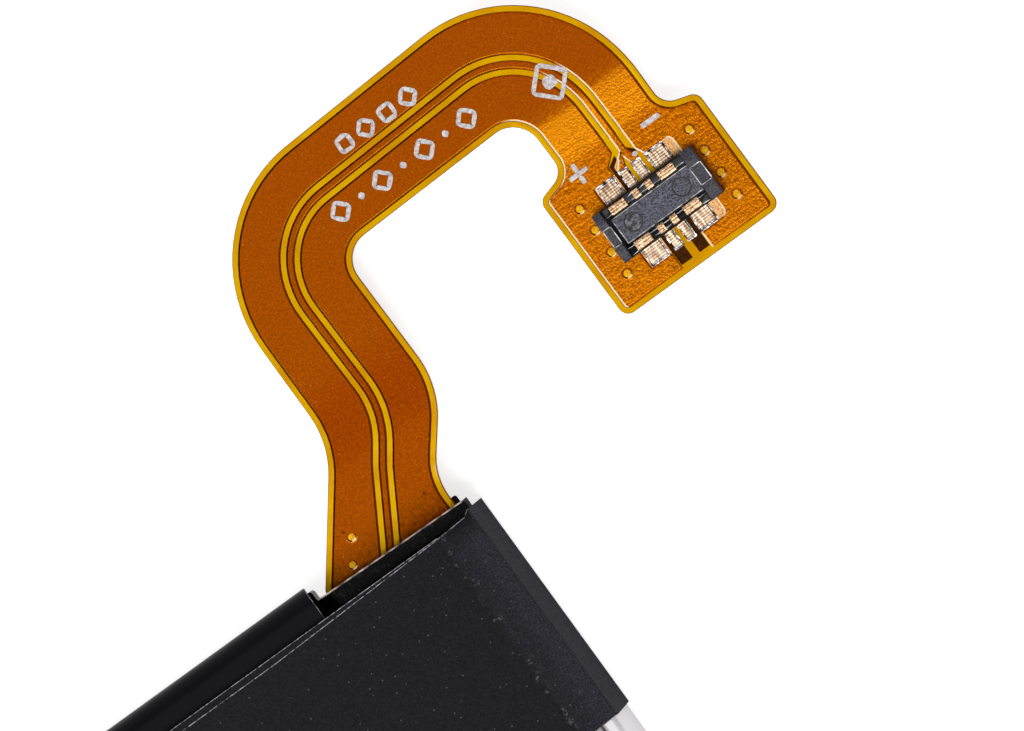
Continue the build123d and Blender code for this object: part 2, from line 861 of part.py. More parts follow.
contacts = []
for outward in (1, -1):
    for across in power_contact_x:
        contacts.append(("power", across, outward, power_contact_width))
    for across in signal_contact_x:
        contacts.append(("signal", across, outward, signal_contact_width))

strips = []
counts = {"power": 0, "signal": 0}
for kind, across, outward, width in contacts:
    counts[kind] += 1
    strip = contact(across, outward, width)
    strips.append(strip.part)
    save(strip, f"{kind}_contact_{counts[kind]}")
    save(solder_joint(across, outward, width, strip), f"{kind}_joint_{counts[kind]}")

# Plug housing: a floor with a notched block at each end, two rails that carry the contacts, and an island
# between them behind a narrow trench. The moulded plastic closes round every contact.
left_end = -plug_length / 2
right_end = plug_length / 2
rail_left = left_end + end_block_left
rail_right = right_end - end_block_right
island_half = rail_inner - trench_width
tab_axis = Axis(tab_plane(0).origin, tab_normal)

with BuildPart() as connector_housing:
    with BuildSketch(tab_plane(film_face)):
        area(left_end, rail_left, -half_width, half_width)
        area(rail_right, right_end, -half_width, half_width)
    extrude(amount=end_block_height)
    chamfer(connector_housing.edges().group_by(tab_axis)[-1], plug_edge)
    with BuildSketch(tab_plane(film_face + end_block_height)):
        area(left_end, right_end, -end_notch_width / 2, end_notch_width / 2)
    extrude(amount=-end_notch_depth, mode=Mode.SUBTRACT)
    with BuildSketch(tab_plane(film_face)):
        area(rail_left, rail_right, -half_width, half_width)
    extrude(amount=plug_floor)
    with BuildSketch(tab_plane(film_face)):
        area(rail_left, rail_right, rail_inner, half_width)
        area(rail_left, rail_right, -half_width, -rail_inner)
    rails = extrude(amount=rail_height, mode=Mode.PRIVATE)
    rail_tops = rails.edges().filter_by(Axis.X).group_by(tab_axis)[-1].sort_by(Axis.Y)
    add(rails.fillet(rail_radius, [rail_tops[0], rail_tops[-1]]))
    with BuildSketch(tab_plane(film_face)):
        area(rail_left + trench_width, rail_right, -island_half, island_half)
    extrude(amount=island_height)
    with BuildSketch(tab_plane(film_face + island_height)):
        with Locations((-island_mark_x, 0), (island_mark_x, 0)):
            Circle(island_mark_radius)
    extrude(amount=-island_mark_depth, mode=Mode.SUBTRACT)
    for strip in strips:
        add(strip, mode=Mode.SUBTRACT)
save(connector_housing, "connector_housing")
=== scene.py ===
import math
import bmesh
import bpy
from mathutils import Matrix, Vector, noise
from mathutils.bvhtree import BVHTree


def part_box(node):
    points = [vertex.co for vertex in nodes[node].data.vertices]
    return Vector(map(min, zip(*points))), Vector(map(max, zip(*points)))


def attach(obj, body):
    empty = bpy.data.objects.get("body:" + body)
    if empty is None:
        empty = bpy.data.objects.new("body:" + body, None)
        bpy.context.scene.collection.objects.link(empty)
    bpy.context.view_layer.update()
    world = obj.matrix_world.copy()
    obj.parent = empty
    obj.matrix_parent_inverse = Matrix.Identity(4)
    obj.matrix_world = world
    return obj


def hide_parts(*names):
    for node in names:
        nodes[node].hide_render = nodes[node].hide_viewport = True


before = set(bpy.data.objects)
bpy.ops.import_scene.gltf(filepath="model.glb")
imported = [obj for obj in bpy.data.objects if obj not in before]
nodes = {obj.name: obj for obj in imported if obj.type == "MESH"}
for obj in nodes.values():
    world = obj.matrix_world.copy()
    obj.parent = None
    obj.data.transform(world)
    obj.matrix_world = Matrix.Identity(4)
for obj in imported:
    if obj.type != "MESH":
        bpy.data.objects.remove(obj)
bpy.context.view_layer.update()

# The battery lies on its back on a white table. Metres throughout, in the frame of the CAD parts:
# X across the cell, Y along it to its head, Z out of its front. Small sizes are so many mm.


# The pouch cell: aluminium foil laminated between nylon and polypropylene, deep drawn and heat
# sealed. The nylon is clear and a little uneven, so the foil shows as soft silver with a faint
# orange peel. Under the sleeve it is coated with the sleeve's black adhesive.
mm = 0.001
peel_size = 0.9 * mm
cloud_size = 9 * mm
coat_margin = 0.2 * mm
coat_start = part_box("end_sleeve")[0].y + coat_margin


def linear(hex_colour):
    """An sRGB colour such as #c84b20 as the linear values that a shader takes."""
    parts = [int(hex_colour[i:i + 2], 16) / 255 for i in (1, 3, 5)]
    return [p / 12.92 if p <= 0.04045 else ((p + 0.055) / 1.055) ** 2.4 for p in parts] + [1.0]


def new_finish(name, colour, **surface):
    """A material with one Principled surface. Plain values go on the shader's own sockets."""
    material = bpy.data.materials.new(name)
    material.use_nodes = True
    shader = material.node_tree.nodes["Principled BSDF"]
    shader.inputs["Base Color"].default_value = linear(colour)
    for socket, setting in surface.items():
        shader.inputs[socket.replace("_", " ")].default_value = setting
    return material, material.node_tree, shader


def add(tree, kind, links, **settings):
    """Adds a node with its settings. An input gets a plain value, or the output it comes from."""
    made = tree.nodes.new("ShaderNode" + kind)
    for name, setting in settings.items():
        setattr(made, name, setting)
    for socket, value in links.items():
        if isinstance(value, bpy.types.NodeSocket):
            tree.links.new(value, made.inputs[socket])
        else:
            made.inputs[socket].default_value = value
    return made


def tones(ramp, *stops):
    """Sets the two ends of a colour ramp, each as (position, colour)."""
    for element, (position, colour) in zip(ramp.color_ramp.elements, stops):
        element.position = position
        element.color = linear(colour)
    return ramp.outputs["Color"]


def dress(material, *names):
    """Gives a finish to CAD nodes."""
    for name in names:
        nodes[name].data.materials.clear()
        nodes[name].data.materials.append(material)


foil, tree, shader = new_finish("nylon_over_foil", "#dad6da", Metallic=0.25, Roughness=0.36)
place = add(tree, "TexCoord", {}).outputs["Object"]
peel = add(tree, "TexNoise", {"Vector": place, "Scale": 1 / peel_size, "Detail": 3.0})
clouds = add(tree, "TexNoise", {"Vector": place, "Scale": 1 / cloud_size, "Detail": 2.0})
silver = tones(add(tree, "ValToRGB", {"Fac": clouds.outputs["Fac"]}),
               (0.3, "#dedade"), (0.7, "#ebe7ea"))
along = add(tree, "SeparateXYZ", {"Vector": place}).outputs["Y"]
covered = add(tree, "Math", {0: along, 1: coat_start}, operation="GREATER_THAN").outputs["Value"]
coat = add(tree, "MixRGB", {"Fac": covered, "Color1": silver, "Color2": linear("#08080a")})
relief = add(tree, "Bump", {"Height": peel.outputs["Fac"], "Strength": 0.2, "Distance": 0.02 * mm})
tree.links.new(coat.outputs["Color"], shader.inputs["Base Color"])
tree.links.new(relief.outputs["Normal"], shader.inputs["Normal"])
dress(foil, "pouch_cell")


# The cell's tabs: one of aluminium and one of nickel strip, sealed into the terrace by strips of
# modified polypropylene and spot welded to plates on the board. Rolled strip has fine lines.
roll_line = 0.05 * mm
roll_stretch = (1.0, 0.04, 1.0)


def rolled_strip(name, colour):
    """Strip metal with the fine lines that rolling leaves along Y."""
    material, tree, shader = new_finish(name, colour, Metallic=1.0, Roughness=0.3)
    place = add(tree, "TexCoord", {}).outputs["Object"]
    stretched = add(tree, "Mapping", {"Vector": place, "Scale": roll_stretch}).outputs["Vector"]
    lines = add(tree, "TexNoise", {"Vector": stretched, "Scale": 1 / roll_line}).outputs["Fac"]
    relief = add(tree, "Bump", {"Height": lines, "Strength": 0.3, "Distance": 0.005 * mm})
    tree.links.new(relief.outputs["Normal"], shader.inputs["Normal"])
    return material


def grained(name, dark, light, grain, depth, **surface):
    """A finish with one grain, which runs between two colours and roughens the surface."""
    material, tree, shader = new_finish(name, light, **surface)
    place = add(tree, "TexCoord", {}).outputs["Object"]
    speckle = add(tree, "TexNoise", {"Vector": place, "Scale": 1 / grain, "Detail": 4.0})
    height = speckle.outputs["Fac"]
    tone = tones(add(tree, "ValToRGB", {"Fac": height}), (0.35, dark), (0.65, light))
    relief = add(tree, "Bump", {"Height": height, "Strength": 0.6, "Distance": depth})
    tree.links.new(tone, shader.inputs["Base Color"])
    tree.links.new(relief.outputs["Normal"], shader.inputs["Normal"])
    return material


dress(rolled_strip("rolled_aluminium", "#d6d6d8"), "positive_tab")
nickel = rolled_strip("rolled_nickel", "#b9b2a6")
dress(nickel, "negative_tab", "positive_weld_pad", "negative_weld_pad")
seal = grained("polypropylene_seal", "#c9c4b0", "#ddd9c8", 0.3 * mm, 0.01 * mm, Roughness=0.5)
dress(seal, "positive_seal", "negative_seal")


# The protection board: glass epoxy under dark solder mask, with its chips soldered on. Black epoxy
# bodies are moulded with a fine matt texture, and the ceramic capacitors are tan and fired.
mask = grained("dark_solder_mask", "#070a09", "#0b100d", 0.6 * mm, 0.004 * mm, Roughness=0.35)
dress(mask, "protection_board")
moulded = grained("moulded_epoxy", "#1c1c1f", "#26262a", 0.06 * mm, 0.01 * mm, Roughness=0.6)
dress(moulded, "mosfet_1", "mosfet_2", "protection_ic", "sense_resistor", "thermistor",
      "chip_resistors")
ceramic = grained("fired_ceramic", "#876243", "#9a7350", 0.08 * mm, 0.004 * mm, Roughness=0.5)
dress(ceramic, "chip_capacitors")


# Foam pads fill the head between the pouch, the board and the card: black, open celled foam, cut
# from sheet and stuck on. It is quite matt.
foam = grained("black_foam", "#0c0c0d", "#1d1d1f", 0.35 * mm, 0.08 * mm, Roughness=0.95)
dress(foam, "terrace_pad", "head_foam")


# The card closes the head under the sleeve. It is dyed through, and its cut edge has a pale, broken
# line painted along it, a painted highlight, so it draws a fine broken line along the head. The cut
# rims of the tapes and films get the same painted highlight.
crease_angle = math.radians(32)
flat_angle = math.radians(0.5)
merge_distance = 0.0005 * mm
card_rim = 0.03 * mm


def merged_copy(name):
    """A CAD node's mesh with its loose triangles merged and its flat faces whole again."""
    body = bmesh.new()
    body.from_mesh(nodes[name].data)
    bmesh.ops.remove_doubles(body, verts=body.verts, dist=merge_distance)
    bmesh.ops.dissolve_limit(body, angle_limit=flat_angle, verts=body.verts, edges=body.edges)
    body.normal_update()
    return body


def round_rims(body, width, on_rim):
    """Rounds the edges that on_rim picks by their faces' normals. They get the second finish."""
    rims = [
        edge for edge in body.edges
        if len(edge.link_faces) == 2
        and (on_rim(edge, *[face.normal for face in edge.link_faces])
             or on_rim(edge, *[face.normal for face in reversed(edge.link_faces)]))
    ]
    rounded = bmesh.ops.bevel(
        body, geom=rims, affect="EDGES", offset=width, segments=2, profile=0.5, material=-1
    )
    for face in rounded["faces"]:
        face.material_index = 1


def head_edge(edge, front, top):
    """Whether an edge lies between a face towards the head and one that looks up."""
    return front.y > 0.7 and top.z > 0.7


def finished_piece(body, name, materials, replaced=()):
    """Turns a bmesh into a piece that rides on the battery, smooth apart from its creases."""
    mesh = bpy.data.meshes.new(name)
    body.to_mesh(mesh)
    body.free()
    mesh.polygons.foreach_set("use_smooth", [True] * len(mesh.polygons))
    mesh.set_sharp_from_angle(angle=crease_angle)
    for material in materials:
        mesh.materials.append(material)
    piece = bpy.data.objects.new(name, mesh)
    bpy.context.scene.collection.objects.link(piece)
    flats = piece.modifiers.new("flat_faces_stay_flat", "WEIGHTED_NORMAL")
    flats.keep_sharp = True
    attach(piece, "root")
    if replaced:
        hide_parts(*replaced)


card_fibre = grained("dyed_card", "#121113", "#1e1d20", 0.12 * mm, 0.02 * mm, Roughness=0.8,
                     Specular_IOR_Level=0.15)
# Painted highlight: a pale, broken colour for the cut rims of the card, the wrap and the sleeve.
rim_painted_highlight = grained("rim_painted_highlight", "#161518", "#c4c0c8", 0.2 * mm, 0.03 * mm, Roughness=0.5)
card = merged_copy("head_card")
round_rims(card, card_rim, head_edge)
finished_piece(card, "card_under_sleeve", [card_fibre, rim_painted_highlight], ["head_card"])


# Tapes: black polyester with a glossy face, stuck over the board's edge and under the flex. Laid by
# hand, they are slightly wavy and a little dusty. The rim along the board is painted pale, a
# painted highlight, and the cut ends are matt.
wave_size = 0.8 * mm
dust_spacing = 0.45 * mm
dust_share = 0.11
tape_rim_width = 0.07 * mm
tape, tree, shader = new_finish("glossy_black_tape", "#040304", Roughness=0.14,
                                Specular_IOR_Level=0.22)
place = add(tree, "TexCoord", {}).outputs["Object"]
waves = add(tree, "TexNoise", {"Vector": place, "Scale": 1 / wave_size, "Detail": 4.0})
specks = add(tree, "TexVoronoi", {"Vector": place, "Scale": 1 / dust_spacing})
dust = add(tree, "Math", {0: specks.outputs["Distance"], 1: dust_share}, operation="LESS_THAN")
dusty = add(tree, "MixRGB", {"Fac": dust.outputs["Value"], "Color1": linear("#040304"),
                             "Color2": linear("#3c393c")})
relief = add(tree, "Bump", {"Height": waves.outputs["Fac"], "Strength": 0.6,
                            "Distance": 0.05 * mm})
tree.links.new(dusty.outputs["Color"], shader.inputs["Base Color"])
tree.links.new(relief.outputs["Normal"], shader.inputs["Normal"])
# Painted highlight: the tape's rim along the board is coloured near white.
tape_rim_highlight = grained("tape_rim_painted_highlight", "#4a342a", "#fff0e6", 0.45 * mm, 0.02 * mm, Roughness=0.3)
strip = merged_copy("board_tape")
for face in strip.faces:
    if abs(face.normal.x) > 0.5:
        face.material_index = 2
round_rims(strip, tape_rim_width, head_edge)
finished_piece(strip, "tape_over_board_edge", [tape, tape_rim_highlight, card_fibre],
               ["board_tape"])
dress(tape, "flex_root_tape")


# The wrap: a smoother, duller black tape that goes round the head and is cut open where the flex
# comes out. Its cut end runs in towards its foot, and its rim there has a thin painted highlight.
wrap_grain = 0.15 * mm
fold_size = 2.5 * mm
grain_share = 0.12
cut_lean = 0.28
cut_length = 0.5 * mm
wrap_rim = 0.025 * mm
wrap, tree, shader = new_finish("smooth_black_wrap", "#07060b", Roughness=0.5,
                                Specular_IOR_Level=0.08)
place = add(tree, "TexCoord", {}).outputs["Object"]
grain = add(tree, "TexNoise", {"Vector": place, "Scale": 1 / wrap_grain, "Detail": 4.0})
folds = add(tree, "TexNoise", {"Vector": place, "Scale": 1 / fold_size, "Detail": 2.0})
height = add(tree, "Math", {0: grain.outputs["Fac"], 1: grain_share, 2: folds.outputs["Fac"]},
             operation="MULTIPLY_ADD")
relief = add(tree, "Bump", {"Height": height.outputs["Value"], "Strength": 0.5,
                            "Distance": 0.06 * mm})
tree.links.new(relief.outputs["Normal"], shader.inputs["Normal"])
band = merged_copy("head_wrap")
cut_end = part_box("head_wrap")[1]
for vert in band.verts:
    if vert.co.x > cut_end.x - cut_length:
        vert.co.x -= cut_lean * (cut_end.z - vert.co.z)
band.normal_update()
# The rim of the cut end gets the painted highlight.
round_rims(band, wrap_rim, lambda edge, end, side: end.x > 0.7 and max(side.y, side.z) > 0.5)
finished_piece(band, "wrap_round_head", [wrap, rim_painted_highlight], ["head_wrap"])


# The end sleeve: matt black polyester film wrapped round the head end of the cell and cut straight.
# It has a fine sanded grain. Its colour is painted lighter towards the fold at the sides and on its
# steep sides, painted light for the sheen where it slopes down. It is creased there, with dust
# stuck in the crease.

# Places on the head and the flex are counted from the corner, the right end of the head's ridge.
corner = Vector((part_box("end_sleeve")[1].x, -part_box("pouch_cell")[0].y, 0))
sand_size = 0.075 * mm
lint_size = 0.35 * mm
speck_spacing = 0.42 * mm
speck_share = 0.075
painted_light_from, painted_light_to = corner.x - 1.8 * mm, corner.x - 0.5 * mm
end_from, end_to = corner.y + 0.1 * mm, corner.y - 1.1 * mm
crease_x = corner.x - 1.6 * mm
crease_reach = 0.7 * mm
sleeve_rim = 0.035 * mm
matt_film, tree, shader = new_finish("matt_black_film", "#19181b", Roughness=0.65,
                                     Specular_IOR_Level=0.14)
place = add(tree, "TexCoord", {}).outputs["Object"]
spot = add(tree, "SeparateXYZ", {"Vector": place}).outputs
normal = add(tree, "NewGeometry", {}).outputs["Normal"]
sanding = add(tree, "TexNoise", {"Vector": place, "Scale": 1 / sand_size, "Detail": 4.0})
grain = sanding.outputs["Fac"]
flat_tone = tones(add(tree, "ValToRGB", {"Fac": grain}), (0.38, "#08070b"), (0.63, "#1a191f"))
# Painted light: lighter tones near the fold at the sides and on steep faces, for the sheen there.
painted_fold_light_tone = tones(add(tree, "ValToRGB", {"Fac": grain}), (0.38, "#222128"), (0.63, "#3d3b45"))
painted_steep_light_tone = tones(add(tree, "ValToRGB", {"Fac": grain}), (0.38, "#1e1d24"), (0.63, "#37353f"))
lean = add(tree, "SeparateXYZ", {"Vector": normal}).outputs["X"]
slope = add(tree, "MapRange", {"Value": lean, "From Min": 0.7, "From Max": 0.98}).outputs["Result"]
by_side = add(tree, "MapRange", {"Value": spot["X"], "From Min": painted_light_from, "From Max": painted_light_to})
off_end = add(tree, "MapRange", {"Value": spot["Y"], "From Min": end_from, "From Max": end_to})
painted_light_share = add(tree, "Math", {0: by_side.outputs["Result"], 1: off_end.outputs["Result"]},
            operation="MULTIPLY")
front = add(tree, "MixRGB", {"Fac": painted_light_share.outputs["Value"], "Color1": flat_tone,
                             "Color2": painted_fold_light_tone})
shade = add(tree, "MixRGB", {"Fac": slope, "Color1": front.outputs["Color"],
                             "Color2": painted_steep_light_tone})
across = add(tree, "Math", {0: spot["X"], 1: crease_x}, operation="SUBTRACT")
off_crease = add(tree, "Math", {0: across.outputs["Value"]}, operation="ABSOLUTE")
near_crease = add(tree, "MapRange", {"Value": off_crease.outputs["Value"],
                                     "From Min": crease_reach, "From Max": 0.0})
lint = add(tree, "TexNoise", {"Vector": place, "Scale": 1 / lint_size, "Detail": 6.0,
                              "Roughness": 0.75})
stuck = add(tree, "Math", {0: near_crease.outputs["Result"], 1: 0.10, 2: lint.outputs["Fac"]},
            operation="MULTIPLY_ADD")
dust_patch = add(tree, "MapRange", {"Value": stuck.outputs["Value"], "From Min": 0.66,
                                    "From Max": 0.74})
specks = add(tree, "TexVoronoi", {"Vector": place, "Scale": 1 / speck_spacing})
speck = add(tree, "Math", {0: specks.outputs["Distance"], 1: speck_share}, operation="LESS_THAN")
dust = add(tree, "Math", {0: dust_patch.outputs["Result"], 1: speck.outputs["Value"]},
           operation="MAXIMUM")
thin_dust = add(tree, "Math", {0: dust.outputs["Value"], 1: 0.7}, operation="MULTIPLY")
dusty = add(tree, "MixRGB", {"Fac": thin_dust.outputs["Value"], "Color1": shade.outputs["Color"],
                             "Color2": linear("#6a686f")})
relief = add(tree, "Bump", {"Height": grain, "Strength": 0.5, "Distance": 0.012 * mm})
shine = add(tree, "Math", {0: slope, 1: -0.11, 2: 0.14}, operation="MULTIPLY_ADD")
tree.links.new(dusty.outputs["Color"], shader.inputs["Base Color"])
tree.links.new(shine.outputs["Value"], shader.inputs["Specular IOR Level"])
tree.links.new(relief.outputs["Normal"], shader.inputs["Normal"])
sleeve = merged_copy("end_sleeve")
# The rim of the cut end gets the painted highlight.
round_rims(sleeve, sleeve_rim,
           lambda edge, end, face: abs(end.y) > 0.6 and face.z > 0.3 and abs(face.y) < 0.3)
finished_piece(sleeve, "sleeve_film", [matt_film, rim_painted_highlight], ["end_sleeve"])


# The flex's base film is polyimide, cast as one sheet and stamped out. It is amber and clear, so it
# is dark brown where only the glue under it shows, and amber where light comes in from its edges
# and its back.
glue_size = 0.15 * mm
base, tree, shader = new_finish("polyimide_base", "#7a3c08", Roughness=0.3,
                                Specular_IOR_Level=0.12, Specular_Tint=linear("#ffd060"))
place = add(tree, "TexCoord", {}).outputs["Object"]
normal = add(tree, "NewGeometry", {}).outputs["Normal"]
upward = add(tree, "SeparateXYZ", {"Vector": normal}).outputs["Z"]
bare = add(tree, "Math", {0: upward, 1: 0.5}, operation="GREATER_THAN").outputs["Value"]
mottle = add(tree, "TexNoise", {"Vector": place, "Scale": 1 / glue_size, "Detail": 3.0})
glue = mottle.outputs["Fac"]
brown = tones(add(tree, "ValToRGB", {"Fac": glue}), (0.35, "#2a0d02"), (0.65, "#4a1c06"))
seen = add(tree, "MixRGB", {"Fac": bare, "Color1": linear("#7a3c08"), "Color2": brown})
relief = add(tree, "Bump", {"Height": glue, "Strength": 0.3, "Distance": 0.01 * mm})
tree.links.new(seen.outputs["Color"], shader.inputs["Base Color"])
tree.links.new(relief.outputs["Normal"], shader.inputs["Normal"])
dress(base, "flex_base_film")


# The copper planes, trace and lands are etched from rolled foil. Where the cover film is open they
# carry a thin flash of gold, which is pale and a little matt.
land = grained("gold_flash_on_copper", "#a8743f", "#e3b47c", 0.07 * mm, 0.01 * mm, Metallic=0.9,
               Roughness=0.42)
dress(land, "flex_positive_plane", "flex_negative_plane", "flex_signal_trace", "flex_sense_lands")


# The cover film is one sheet of polyimide, pressed on hot. In the gaps and margins it lies on the
# base film, and the two together are clear yellow, with a milky painted reflection beside the wrap.
# Its rounded outline is a darker brown, but at the windows round the plug it is too narrow for such
# a rim.
drift_size = 1.6 * mm
painted_reflection_place = corner + Vector((-0.42, 2.0, 0)) * mm
painted_reflection_shape = Vector((1.0, 0.4, 0.0))
painted_reflection_edge, painted_reflection_core = 0.34 * mm, 0.10 * mm
edge_width = 0.03 * mm
window_low = corner + Vector((12.9, 3.5, 0)) * mm
window_high = corner + Vector((17.1, 10.0, 0)) * mm
yellow, tree, shader = new_finish("polyimide_on_film", "#dea502", Roughness=0.26,
                                  Specular_IOR_Level=0.5, Specular_Tint=linear("#ffd020"))
place = add(tree, "TexCoord", {}).outputs["Object"]
drift = add(tree, "TexNoise", {"Vector": place, "Scale": 1 / drift_size, "Detail": 4.0})
tone = tones(add(tree, "ValToRGB", {"Fac": drift.outputs["Fac"]}),
             (0.35, "#d08d01"), (0.65, "#e0a901"))
relief = add(tree, "Bump", {"Height": drift.outputs["Fac"], "Strength": 0.3,
                            "Distance": 0.04 * mm})
# Painted reflection: a milky white patch laid over the yellow beside the wrap.
squeezed = add(tree, "VectorMath", {0: place, 1: painted_reflection_shape}, operation="MULTIPLY")
from_painted_reflection = add(tree, "VectorMath", {0: squeezed.outputs["Vector"], 1: painted_reflection_place * painted_reflection_shape},
                 operation="DISTANCE")
painted_reflection = add(tree, "MapRange", {"Value": from_painted_reflection.outputs["Value"], "From Min": painted_reflection_edge,
                               "From Max": painted_reflection_core, "To Max": 0.6})
reflection_laid = add(tree, "MixRGB", {"Fac": painted_reflection.outputs["Result"], "Color1": tone,
                            "Color2": linear("#f4e6c8")})
tree.links.new(reflection_laid.outputs["Color"], shader.inputs["Base Color"])
tree.links.new(relief.outputs["Normal"], shader.inputs["Normal"])
cut_film = grained("stamped_film_edge", "#4e2a02", "#8a5203", 0.25 * mm, 0.01 * mm, Roughness=0.6,
                   Specular_IOR_Level=0.1)


def stamped_edge(edge, side, top):
    """Whether an edge is on the top of the film's outline, away from the windows."""
    middle = (edge.verts[0].co + edge.verts[1].co) / 2
    at_windows = (window_low.x < middle.x < window_high.x
                  and window_low.y < middle.y < window_high.y)
    return top.z > 0.5 and abs(side.z) < 0.5 and not at_windows


sheet = merged_copy("flex_cover_low")
round_rims(sheet, edge_width, stamped_edge)
finished_piece(sheet, "cover_film_on_base", [yellow, cut_film],
               ["flex_cover_low"])


# Over the copper the same sheet is raised, and its edges run down softly to the gaps. It is made
# from the CAD solid: each top face is set in from its edge three times, and the outer rings are
# let down. Cuts across it at even steps keep its faces small.
edge_rings = ((0.035 * mm, 0.036 * mm), (0.035 * mm, 0.014 * mm), (0.02 * mm, 0.0))
cut_spacing = 0.7 * mm
raised = merged_copy("flex_cover_raised")
top_faces = [face for face in raised.faces if face.normal.z > 0.5]
for width, drop in edge_rings:
    ring = bmesh.ops.inset_region(
        raised, faces=top_faces, thickness=width, use_boundary=True, use_even_offset=True
    )
    inner = {vert for face in top_faces for vert in face.verts}
    outer = {vert for face in ring["faces"] for vert in face.verts} - inner
    bmesh.ops.translate(raised, verts=list(outer), vec=(0, 0, -drop))
low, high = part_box("flex_cover_raised")
for axis in (0, 1):
    direction = Vector((0, 0, 0))
    direction[axis] = 1
    for step in range(1, math.ceil((high[axis] - low[axis]) / cut_spacing)):
        bmesh.ops.bisect_plane(
            raised,
            geom=raised.verts[:] + raised.edges[:] + raised.faces[:],
            plane_co=direction * (low[axis] + step * cut_spacing),
            plane_no=direction,
        )
raised.normal_update()

# What is printed or pressed on the flex finds its height on all three films.
all_films = raised.copy()
all_films.from_mesh(nodes["flex_cover_low"].data)
all_films.from_mesh(nodes["flex_base_film"].data)
film_surface = BVHTree.FromBMesh(all_films)
all_films.free()

# The copper shines through as a warm brown, grained on the tab, where the film was pressed against
# the plate, and painted lighter there, a painted light for the tab's tilt; the film's own glare is
# gold. Off the arm it is painted darker towards the head, a painted shade, and in blotches by the
# tape, a painted shadow of the head. Its edges over the copper's sides are painted dark brown on
# the sides that face away from the lamps, a painted shade, and on the tab those that face left are
# painted cream white, a painted highlight.
# A fade goes along an axis, between two places that are counted from the corner in mm.
foil_grain = 0.10 * mm
head_shadow_blotch_size = 0.22 * mm
mote_spacing = 0.45 * mm
mote_share = 0.075
ripple_size = 0.16 * mm
ripple_stretch = (0.12, 1.0, 1.0)
pinholes = ((-5.79, 2.70, 0.08), (-1.66, 1.99, 0.08), (-2.84, 1.11, 0.07), (13.80, 3.56, 0.12))
fades = {"past_bay": (0, 8, 10.4), "tab": (1, 13.2, 9.6), "arm": (1, 14.2, 13.6),
         "exit": (1, 9.5, 7.5), "tape": (1, 2.4, 0.8)}
amber, tree, shader = new_finish("polyimide_on_copper", "#a34804", Roughness=0.15, IOR=1.78,
                                 Specular_IOR_Level=1.0, Specular_Tint=linear("#ffb416"))
place = add(tree, "TexCoord", {}).outputs["Object"]
spot = add(tree, "SeparateXYZ", {"Vector": place}).outputs
normal = add(tree, "NewGeometry", {}).outputs["Normal"]
faded = {}
for region, (axis, start, end) in fades.items():
    fade = add(tree, "MapRange", {"Value": spot[axis], "From Min": corner[axis] + start * mm,
                                  "From Max": corner[axis] + end * mm})
    faded[region] = fade.outputs["Result"]


def stained(tree, tone, pattern, strength, colour):
    """Lays a colour over a finish's tone, as far as a pattern and a strength say."""
    laid = add(tree, "Math", {0: pattern, 1: strength}, operation="MULTIPLY")
    return add(tree, "MixRGB", {"Fac": laid.outputs["Value"], "Color1": tone,
                                "Color2": linear(colour)}).outputs["Color"]


def leaning(tree, normal, direction, start, end):
    """How far a surface leans towards a direction, from none at start to all at end."""
    lean = add(tree, "VectorMath", {0: normal, 1: direction}, operation="DOT_PRODUCT")
    return add(tree, "MapRange", {"Value": lean.outputs["Value"], "From Min": start,
                                  "From Max": end}).outputs["Result"]


on_tab = add(tree, "Math", {0: faded["tab"], 1: faded["past_bay"]},
             operation="MULTIPLY").outputs["Value"]
on_arm = add(tree, "Math", {0: faded["arm"], 1: faded["past_bay"]},
             operation="MULTIPLY").outputs["Value"]
off_arm = add(tree, "Math", {0: 1.0, 1: on_arm}, operation="SUBTRACT").outputs["Value"]
at_exit = add(tree, "Math", {0: faded["exit"], 1: off_arm},
              operation="MULTIPLY").outputs["Value"]
by_tape = add(tree, "Math", {0: faded["tape"], 1: off_arm},
              operation="MULTIPLY").outputs["Value"]
grains = add(tree, "TexNoise", {"Vector": place, "Scale": 1 / foil_grain, "Detail": 4.0})
grain = grains.outputs["Fac"]
run_tone = tones(add(tree, "ValToRGB", {"Fac": grain}), (0.32, "#943900"), (0.68, "#b84f05"))
# Painted light: the tab's tone runs to a lighter orange over its grain, for its tilt.
tab_grain_and_light_tone = tones(add(tree, "ValToRGB", {"Fac": grain}), (0.36, "#8c3200"), (0.66, "#e27404"))
tone = add(tree, "MixRGB", {"Fac": on_tab, "Color1": run_tone,
                            "Color2": tab_grain_and_light_tone}).outputs["Color"]
# Painted shade: darker off the arm towards the head.
tone = stained(tree, tone, at_exit, 0.15, "#5a2000")
# Painted shadow of the head: dark brown blotches by the tape.
head_shadow_noise = add(tree, "TexNoise", {"Vector": place, "Scale": 1 / head_shadow_blotch_size, "Detail": 4.0})
head_shadow_blotches = add(tree, "MapRange", {"Value": head_shadow_noise.outputs["Fac"], "From Min": 0.42, "From Max": 0.58})
painted_head_shadow = add(tree, "Math", {0: by_tape, 1: head_shadow_blotches.outputs["Result"]}, operation="MULTIPLY")
tone = stained(tree, tone, painted_head_shadow.outputs["Value"], 0.6, "#521c00")
mote = add(tree, "TexVoronoi", {"Vector": place, "Scale": 1 / mote_spacing})
motes = add(tree, "Math", {0: mote.outputs["Distance"], 1: mote_share}, operation="LESS_THAN")
tone = stained(tree, tone, motes.outputs["Value"], 0.5, "#e08a2c")
flat_place = add(tree, "VectorMath", {0: place, 1: (1, 1, 0)},
                 operation="MULTIPLY").outputs["Vector"]
for u, v, radius in pinholes:
    middle = corner + Vector((u, v, 0)) * mm
    away = add(tree, "VectorMath", {0: flat_place, 1: middle}, operation="DISTANCE")
    hole = add(tree, "MapRange", {"Value": away.outputs["Value"], "From Min": 1.3 * radius * mm,
                                  "From Max": 0.7 * radius * mm})
    tone = stained(tree, tone, hole.outputs["Result"], 0.7, "#260900")
